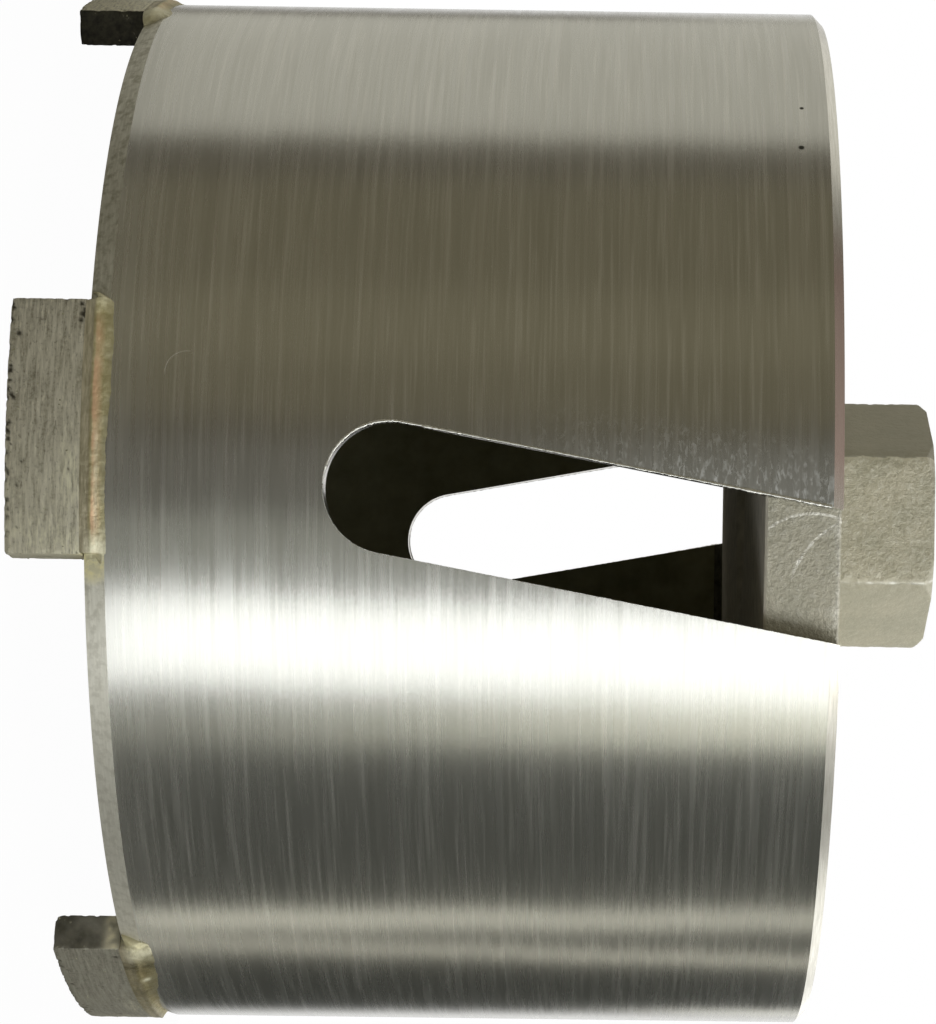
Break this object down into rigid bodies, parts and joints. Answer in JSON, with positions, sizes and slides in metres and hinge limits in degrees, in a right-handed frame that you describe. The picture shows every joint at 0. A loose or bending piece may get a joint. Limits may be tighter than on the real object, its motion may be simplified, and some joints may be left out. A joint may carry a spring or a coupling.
{
  "type": "diamond core bit",
  "caption": "Dry diamond core bit: slotted turned-steel barrel with brazed diamond segments, closed by a flanged hexagon hub with a threaded through hole.",
  "frame": {"origin": "on the barrel's axis, in the plane of the segments' cutting faces, which the bit stands on", "axes": "+Z along the axis from the cutting faces to the hub, -Y through the round end of the first slot"},
  "size_m": [0.1014, 0.1014, 0.0826],
  "materials": {
    "barrel_steel": "ground round the barrel, bright",
    "hub_steel": "blasted, matt",
    "segment_bond": "ground sintered bond with pores and diamond grains",
    "braze": "as cast, partly copper-coloured"
  },
  "bodies": {
    "root": {"barrel": "barrel_steel", "hub": "hub_steel", "segment_1": "segment_bond", "segment_2": "segment_bond", "segment_3": "segment_bond", "segment_4": "segment_bond", "segment_5": "segment_bond", "segment_braze_1": "braze", "segment_braze_2": "braze", "segment_braze_3": "braze", "segment_braze_4": "braze", "segment_braze_5": "braze", "hub_braze_1": "braze", "hub_braze_2": "braze"}
  },
  "joints": []
}
